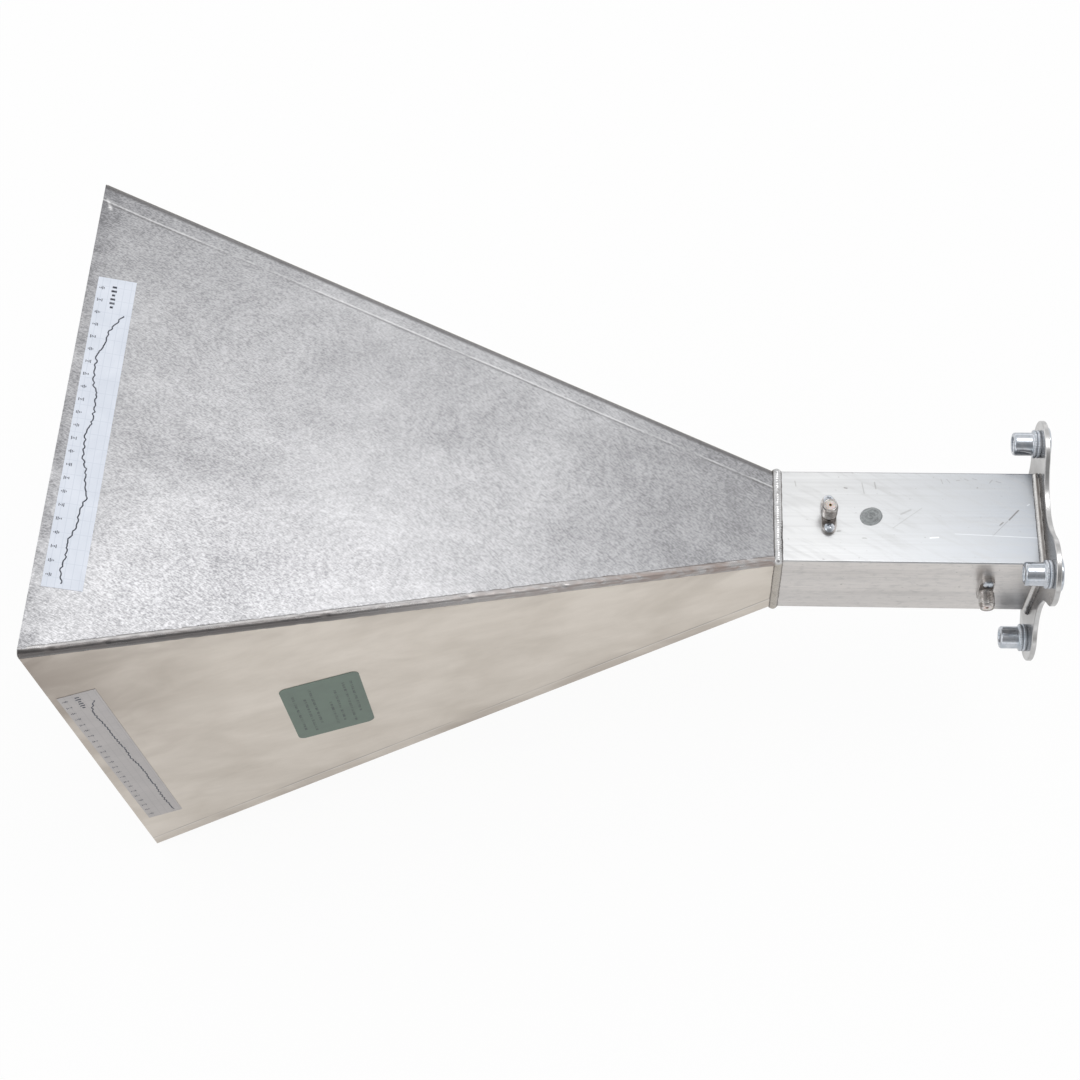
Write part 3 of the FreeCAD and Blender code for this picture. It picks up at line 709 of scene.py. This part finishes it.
def zinc_plate():
    made, tree, shader = metal("zinc_plate", 0.14)
    here = spot(tree)
    clouds = grain(tree, here, (220, 220, 220), 4, 0.8)
    speckle = grain(tree, here, (1600, 1600, 1600), 3)
    colour = blend(tree, ramp(tree, clouds, 0.35, 0.65), zinc_bright, zinc_blue)
    colour = blend(tree, ramp(tree, speckle, 0.55, 0.8, 0.0, 0.6), colour, zinc_dull)
    tree.links.new(colour, shader.inputs["Base Color"])
    tree.links.new(ramp(tree, clouds, 0.3, 0.7, 0.10, 0.22), shader.inputs["Roughness"])
    relief(tree, shader, speckle, 0.03 * mm, 0.2)
    return made


def shape_nut():
    """One insert, its axis along Z and its head's rear face at height 0."""
    nut = turned_solid(nut_outline, nut_ribs * 4, nut_thread_run, 52)
    for vertex in nut.verts:
        radius = math.hypot(vertex.co.x, vertex.co.y)
        ribbed = 3.6 * mm < vertex.co.z < 6.2 * mm and radius > 4.9 * mm
        if ribbed:
            angle = math.atan2(vertex.co.y, vertex.co.x)
            set_radius(vertex, radius - rib_depth * (0.5 - 0.5 * math.cos(angle * nut_ribs)))
    cut_thread(nut, thread_start, nut_front - 0.15 * mm, thread_root, thread_crest, thread_root,
               thread_pitch)
    return nut


zinc = zinc_plate()
to_tube = Matrix.Translation((0, nut_centre.y, nut_centre.z)) @ Matrix.Rotation(-math.pi / 2, 4, "Y")
for number in range(4):
    nut = shape_nut()
    bmesh.ops.transform(nut, verts=nut.verts, matrix=Matrix.Rotation(math.pi / 2 * number, 4, "X") @ to_tube)
    finished("insert_" + str(number + 1), nut, zinc, "zinc_steel", "rivet_nut_" + str(number + 1))

# Coaxial jacks. Turned steel bodies on oblong flanges, with a 1/4-36 thread up to a short plain
# pilot. A white sleeve and a slotted brass contact sit inside. They are a little tarnished.
jack_pitch = 25.4 / 36 * mm
jack_crest = 3.175
jack_root = 2.78
flange_top = 1.6
neck_top = 2.3
thread_top = 8.3
barrel_top = 9.2
jack_bore = 2.05
barrel_outline = [
    (jack_bore, flange_top - 0.1), (2.75, flange_top - 0.1), (2.75, neck_top), (jack_root, neck_top + 0.05),
    (jack_root, thread_top - 0.05), (2.7, thread_top), (2.7, barrel_top - 0.12), (2.6, barrel_top),
    (2.2, barrel_top), (jack_bore, barrel_top - 0.15),
]
barrel_thread_run = 3
steel_pale = (0.50, 0.485, 0.475, 1)
steel_brown = (0.29, 0.265, 0.25, 1)
ports = {}
for port, turn in (("top", 0), ("side", 90)):
    low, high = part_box(port + "_contact_probe")
    ports[port] = (Matrix.Rotation(math.radians(turn), 4, "X")
                   @ Matrix.Translation(((low.x + high.x) / 2, 0, tube_half))
                   @ Matrix.Rotation(math.radians(90), 4, "Z"))


def jack_steel():
    made, tree, shader = metal("jack_steel", 0.2)
    here = spot(tree)
    stains = grain(tree, here, (330, 330, 330), 4, 1.0)
    speckle = grain(tree, here, (1800, 1800, 1800), 3)
    colour = blend(tree, ramp(tree, stains, 0.4, 0.65), steel_pale, steel_brown)
    tree.links.new(colour, shader.inputs["Base Color"])
    tree.links.new(ramp(tree, speckle, 0.3, 0.7, 0.10, 0.2), shader.inputs["Roughness"])
    relief(tree, shader, speckle, 0.03 * mm, 0.2)
    return made


def flange_of(node, place):
    """The flange of a jack's node, in the jack's own frame, cut off above its top face."""
    bm = bmesh.new()
    bm.from_mesh(nodes[node].data)
    bmesh.ops.remove_doubles(bm, verts=bm.verts, dist=0.001 * mm)
    bmesh.ops.transform(bm, verts=bm.verts, matrix=place.inverted())
    cut = bmesh.ops.bisect_plane(bm, geom=bm.verts[:] + bm.edges[:] + bm.faces[:], dist=0.0001 * mm,
                                 plane_co=(0, 0, (flange_top + 0.1) * mm), plane_no=(0, 0, 1),
                                 clear_outer=True)["geom_cut"]
    bmesh.ops.bridge_loops(bm, edges=[e for e in cut if isinstance(e, bmesh.types.BMEdge)])
    return bm


jack_finish = jack_steel()
for port, place in ports.items():
    barrel = turned_solid(barrel_outline, 72, barrel_thread_run, 64)
    cut_thread(barrel, neck_top * mm, thread_top * mm, jack_root * mm, jack_crest * mm, jack_root * mm,
               jack_pitch)
    flange = flange_of(port + "_jack_body", place)
    flange_mesh = bpy.data.meshes.new("flange")
    flange.to_mesh(flange_mesh)
    flange.free()
    barrel.from_mesh(flange_mesh)
    bpy.data.meshes.remove(flange_mesh)
    bmesh.ops.transform(barrel, verts=barrel.verts, matrix=place)
    finished(port + "_jack", barrel, jack_finish, "connector_metal", port + "_jack_body")


def insulator_white():
    made, tree, shader = surface("insulator_white", 0.45)
    here = spot(tree)
    smudge = grain(tree, here, (500, 500, 500), 4, 0.5)
    tree.links.new(blend(tree, ramp(tree, smudge, 0.35, 0.75), (0.76, 0.70, 0.67, 1), (0.52, 0.44, 0.40, 1)),
                   shader.inputs["Base Color"])
    shader.inputs["Subsurface Weight"].default_value = 0.2
    shader.inputs["Subsurface Scale"].default_value = 0.5 * mm
    relief(tree, shader, smudge, 0.03 * mm, 0.3)
    return made


def contact_brass():
    made, tree, shader = metal("contact_brass", 0.22)
    here = spot(tree)
    stains = grain(tree, here, (400, 400, 400), 4, 0.5)
    tree.links.new(blend(tree, ramp(tree, stains, 0.35, 0.7), (0.66, 0.51, 0.28, 1), (0.36, 0.26, 0.14, 1)),
                   shader.inputs["Base Color"])
    relief(tree, shader, stains, 0.03 * mm, 0.3)
    return made


white_sleeve = insulator_white()
brass = contact_brass()
for port in ports:
    dress(port + "_jack_insulator", white_sleeve)
    dress(port + "_contact_probe", brass)
    dress(port + "_flange_screw_1", zinc)
    dress(port + "_flange_screw_2", zinc)

# Shorting post. A brass rod goes across the tube and is riveted flush. A dab of grey sealant
# covers each end, pressed down and wiped round with a fingertip, which leaves a spiral.
dress("shorting_post", brass)
dab_low, dab_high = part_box("post_sealant_top")
dab_centre = (dab_low + dab_high) / 2
dab_radius = (dab_high.x - dab_low.x) / 2
dab_height = dab_high.z - dab_low.z


def sealant_grey():
    made, tree, shader = surface("sealant_grey", 0.42)
    here = spot(tree)
    smear = grain(tree, here, (420, 420, 420), 4, 1.5)
    tree.links.new(blend(tree, ramp(tree, smear, 0.35, 0.7), (0.36, 0.38, 0.385, 1), (0.22, 0.23, 0.235, 1)),
                   shader.inputs["Base Color"])
    relief(tree, shader, smear, 0.08 * mm, 0.4)
    return made


def wiped_dab():
    """A flattened lump whose top is scored by a spiral, about the origin and standing on height 0."""
    bm = bmesh.new()
    bmesh.ops.create_uvsphere(bm, u_segments=128, v_segments=72, radius=1.0)
    bmesh.ops.bisect_plane(bm, geom=bm.verts[:] + bm.edges[:] + bm.faces[:], dist=0.0001,
                           plane_co=(0, 0, 0), plane_no=(0, 0, -1), clear_outer=True)
    for vertex in bm.verts:
        reach = math.hypot(vertex.co.x, vertex.co.y)
        angle = math.atan2(vertex.co.y, vertex.co.x)
        spread = min(1.0, reach)
        edge = 0.93 + 0.07 * math.sin(2 * angle + 0.6) + 0.03 * noise.noise(
            Vector((math.cos(angle) * 2, math.sin(angle) * 2, 5)))
        edge = min(1.0, edge)
        coil = math.sin(2 * math.pi * (spread * 2.6 + angle / (2 * math.pi)))
        ridge = 0.24 * coil * (1 - spread ** 6)
        lift = 0.55 * (1 - spread ** 4) + ridge + 0.12 * noise.noise(vertex.co * 4)
        height = max(0.0, min(1.0, lift)) if spread < 0.999 else 0.0
        vertex.co = Vector((vertex.co.x * edge * dab_radius, vertex.co.y * edge * dab_radius,
                            height * dab_height))
    bmesh.ops.holes_fill(bm, edges=[edge for edge in bm.edges if edge.is_boundary])
    bmesh.ops.recalc_face_normals(bm, faces=bm.faces)
    smooth(bm)
    return bm


grey = sealant_grey()
for side, turn in (("top", 0), ("bottom", 180)):
    dab = wiped_dab()
    bmesh.ops.transform(dab, verts=dab.verts, matrix=Matrix.Rotation(math.radians(turn), 4, "X")
                        @ Matrix.Translation((dab_centre.x, 0, dab_low.z)))
    finished("sealant_" + side, dab, grey, "grey_sealant", "post_sealant_" + side)

# Chart strips. A printed strip with the antenna's measured curve is stuck along the mouth of two
# panels: a pale grid, one dark wavering line, small marks on the mouth side and a few bolder bars.
ink = (0.035, 0.04, 0.06, 1)
ink_worn = (0.16, 0.17, 0.2, 1)
ink_width = 0.5 * mm
ink_height = 0.02 * mm
chart_pale = (0.73, 0.77, 0.85, 1)
chart_line = (0.50, 0.55, 0.64, 1)
film_pale = (0.455, 0.43, 0.425, 1)
film_line = (0.31, 0.30, 0.30, 1)
top_curve = [
    (4.3, 49), (2.2, 45.4), (0.2, 41.6), (-0.5, 35.4), (-2.6, 30.4), (-2.5, 25.9), (-2.2, 19.3),
    (-0.4, 14.5), (-0.1, 10.1), (0.1, 2.9), (-1.6, -3.3), (-1.2, -8.9), (-1.0, -13.2), (0.8, -17.1),
    (1.2, -21.9), (2.6, -28.7), (1.3, -33.7), (1.4, -39.9), (-0.8, -46.4), (-0.6, -51.8),
    (-1.6, -57.9), (-0.4, -63),
]
side_curve = [
    (4.2, 55.5), (2.0, 50.5), (1.0, 45.5), (1.4, 37.5), (1.9, 31), (1.8, 23), (2.2, 15.8), (2.6, 6),
    (2.2, -1), (3.2, -9), (3.6, -18), (3.2, -24), (3.6, -36.4), (3.3, -49), (4.0, -61.5),
]


def strip_paper(name, side, tilt, paper, lines):
    """Paper with a printed grid of lines, along and across the strip."""
    made, tree, shader = surface(name, 0.35)
    here = spot(tree, -sides[side])
    laid = add(tree, "Mapping", {"Vector": here, "Rotation": (0, -flare, 0)}).outputs[0]
    laid = add(tree, "Mapping", {"Vector": laid, "Rotation": (0, 0, math.radians(-tilt))}).outputs[0]
    along = add(tree, "SeparateXYZ", {0: laid}).outputs
    fine = grain(tree, here, (2500, 2500, 2500), 2)
    smudge = grain(tree, here, (70, 70, 70), 4, 0.8)
    rows = ramp(tree, calc(tree, "PINGPONG", along[0], 1.35 * mm), 0.0, 0.16 * mm, 1.0, 0.0)
    columns = ramp(tree, calc(tree, "PINGPONG", along[1], 2.9 * mm), 0.0, 0.16 * mm, 1.0, 0.0)
    grid = calc(tree, "MULTIPLY", calc(tree, "MAXIMUM", rows, columns), 0.55)
    colour = blend(tree, ramp(tree, smudge, 0.35, 0.75, 0.0, 0.35), paper, lines)
    colour = blend(tree, grid, colour, lines)
    tree.links.new(colour, shader.inputs["Base Color"])
    relief(tree, shader, fine, 0.02 * mm, 0.2)
    return made


def ink_black():
    made, tree, shader = surface("chart_ink", 0.5)
    worn = grain(tree, spot(tree), (900, 900, 900), 3)
    colour = blend(tree, ramp(tree, worn, 0.45, 0.8), ink, ink_worn)
    tree.links.new(colour, shader.inputs["Base Color"])
    return made


def strip_frame(node, side, tilt):
    """From a strip's own plane, X to the throat and Y across the panel, to its outer face."""
    low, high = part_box(node)
    turn = Matrix.Rotation(math.radians(sides[side]), 4, "X")
    middle = turn.inverted() @ ((low + high) / 2)
    lie = Matrix.Rotation(flare, 4, "Y") @ Matrix.Rotation(math.radians(tilt), 4, "Z")
    return turn @ Matrix.Translation(middle) @ lie @ Matrix.Translation((0, 0, 0.085 * mm))


def inked_curve(points, place):
    """A flat wavering line of ink through points given towards the throat and across, in mm."""
    path = bpy.data.curves.new("inked", "CURVE")
    path.dimensions = "3D"
    path.bevel_depth = ink_width / 2
    path.bevel_resolution = 1
    cuts = 8
    run = path.splines.new("POLY")
    run.points.add(cuts * (len(points) - 1))
    for step, control in enumerate(run.points):
        leg, share = divmod(step / cuts, 1)
        first, second = points[int(leg)], points[min(int(leg) + 1, len(points) - 1)]
        inward, across = Vector(first).lerp(Vector(second), share)
        waver = 0.22 * math.sin(across * 2.1) + 0.5 * noise.noise(Vector((across, inward, 4)))
        control.co = ((inward + waver) * mm, across * mm, 0, 1)
    drawn = bpy.data.objects.new("inked", path)
    mesh = bpy.data.meshes.new_from_object(drawn)
    bm = bmesh.new()
    bm.from_mesh(mesh)
    bpy.data.objects.remove(drawn)
    bpy.data.curves.remove(path)
    bpy.data.meshes.remove(mesh)
    bmesh.ops.scale(bm, vec=(1, 1, 0.1), verts=bm.verts)
    bmesh.ops.holes_fill(bm, edges=[edge for edge in bm.edges if edge.is_boundary])
    bmesh.ops.transform(bm, verts=bm.verts, matrix=place)
    return bm


def ink_bar(bm, place, inward, across, wide, long):
    """A bar of ink on a strip's own plane: the place of its middle and its size, in mm."""
    lie = Matrix.Translation(Vector((inward, across, 0)) * mm)
    size = Matrix.Diagonal((wide * mm, long * mm, ink_height, 1))
    bmesh.ops.create_cube(bm, size=1.0, matrix=place @ lie @ size)


def row_of_marks(bm, place, inward, first, last, count):
    """Groups of four short bars where the axis of the chart has its figures."""
    for group in range(count):
        across = first + (last - first) * group / (count - 1)
        for bar in range(4):
            ink_bar(bm, place, inward - 0.55 * bar, across, 0.28,
                    0.9 + 0.5 * math.sin(group * 2.3 + bar * 1.7))


black = ink_black()
strips = [
    ("chart_strip_top", "top", 0.0, "chart_paper", chart_pale, chart_line, top_curve),
    ("chart_strip_side", "near", 0.8, "chart_film", film_pale, film_line, side_curve),
]
for node, side, tilt, slot, paper, lines, curve in strips:
    dress(node, strip_paper(slot, side, tilt, paper, lines))
    place = strip_frame(node, side, tilt)
    print_on = inked_curve(curve, place)
    row_of_marks(print_on, place, -4.4, 60, -60, 23)
    for bar in range(6):
        ink_bar(print_on, place, -0.6, 61 - 1.8 * bar, 1.6 + 0.5 * math.sin(bar * 2.2), 0.9)
    finished(node + "_print", print_on, black, slot)

# Rating label. A grey-green film with rounded corners is stuck on the near panel. Where the real
# one is printed it has only rows of short darker bars.
label_green = (0.135, 0.185, 0.150, 1)
label_dark = (0.105, 0.132, 0.117, 1)
label_print = (0.07, 0.085, 0.08, 1)


def label_film():
    made, tree, shader = surface("label_film", 0.5)
    here = spot(tree)
    mottle = grain(tree, here, (160, 160, 160), 4, 0.6)
    fine = grain(tree, here, (1800, 1800, 1800), 2)
    tree.links.new(blend(tree, ramp(tree, mottle, 0.3, 0.75, 0.0, 0.5), label_green, label_dark),
                   shader.inputs["Base Color"])
    relief(tree, shader, fine, 0.02 * mm, 0.2)
    return made


def label_ink():
    made, tree, shader = surface("label_ink", 0.55)
    worn = grain(tree, spot(tree), (700, 700, 700), 3)
    tree.links.new(blend(tree, ramp(tree, worn, 0.35, 0.7), label_print, label_green),
                   shader.inputs["Base Color"])
    return made


dress("rating_label", label_film())
label_place = strip_frame("rating_label", "near", 0.0)
label_rows = [(-11.5, -17, 15), (-7.5, -20, 12), (-4.5, -14, 18), (1.5, -19, 4), (4.5, -17, 10),
              (8.5, -20, 17), (11.5, -12, 15)]
bars = bmesh.new()
for row, (inward, start, stop) in enumerate(label_rows):
    at = start
    step = 0
    while at < stop:
        long = 2.2 + 1.5 * math.sin(row * 3.1 + step * 2.2)
        ink_bar(bars, label_place, inward, at + long / 2, 1.0, long)
        at += long + 0.8
        step += 1
finished("rating_label_print", bars, label_ink(), "green_label")

# Floor, lamps and sky. A white table under the lower rim of the mouth, a soft lamp overhead, a
# weaker one from the left, and a pale sky that is darker halfway up and behind the camera.
floor_gap = 0.3 * mm


def table_white():
    made, tree, shader = surface("table_white", 0.8)
    shader.inputs["Base Color"].default_value = (0.85, 0.85, 0.85, 1)
    rays = add(tree, "LightPath", {}).outputs
    seen = calc(tree, "MULTIPLY", rays["Is Camera Ray"], 0.94)
    seen = calc(tree, "MULTIPLY_ADD", rays["Is Glossy Ray"], 0.5, seen)
    glow = add(tree, "Emission", {"Color": (1, 1, 1, 1), "Strength": 1.0}).outputs[0]
    mixed = add(tree, "MixShader", {0: seen, 1: shader.outputs[0], 2: glow})
    tree.links.new(mixed.outputs[0], tree.nodes["Material Output"].inputs["Surface"])
    return made


table = bmesh.new()
bmesh.ops.create_circle(table, cap_ends=True, segments=96, radius=6.0,
                        matrix=Matrix.Translation((0, 0, cad_box[0][2] - floor_gap)))
table_mesh = bpy.data.meshes.new("table")
table.to_mesh(table_mesh)
table.free()
table_mesh.materials.append(table_white())
table_top = bpy.data.objects.new("table", table_mesh)
scene.collection.objects.link(table_top)

aim = Vector((-0.18, 0, 0))


def soft_lamp(name, place, size, watts):
    lamp = bpy.data.lights.new(name, "AREA")
    lamp.shape = "RECTANGLE"
    lamp.size, lamp.size_y = size
    lamp.energy = watts
    holder = bpy.data.objects.new(name, lamp)
    holder.location = place
    holder.rotation_euler = (aim - Vector(place)).to_track_quat("-Z", "Y").to_euler()
    scene.collection.objects.link(holder)


soft_lamp("overhead", (0.35, 0.32, 1.6), (0.8, 0.4), 3.5)
soft_lamp("left_fill", (-1.6, -0.4, 0.8), (0.8, 0.8), 2.4)

sky = bpy.data.worlds.new("sky")
sky.use_nodes = True
sky_tree = sky.node_tree
toward = add(sky_tree, "TexCoord", {}).outputs["Generated"]
height = add(sky_tree, "SeparateXYZ", {0: toward}).outputs[2]
low_sky = ramp(sky_tree, height, 0.0, 0.4, 1.52, 0.88)
high_sky = ramp(sky_tree, height, 0.6, 0.95, 0.0, 0.4)
level = calc(sky_tree, "ADD", low_sky, high_sky)
behind_camera = add(sky_tree, "VectorMath", {0: toward, 1: (0, -0.62, 0.78)},
                    operation="DOT_PRODUCT").outputs["Value"]
level = calc(sky_tree, "MULTIPLY", level, ramp(sky_tree, behind_camera, 0.6, 0.97, 1.0, 0.35))
shade = add(sky_tree, "CombineColor", {0: level, 1: level, 2: level}).outputs[0]
sky_tree.links.new(shade, sky_tree.nodes["Background"].inputs["Color"])
scene.world = sky

scene.view_settings.view_transform = "Standard"
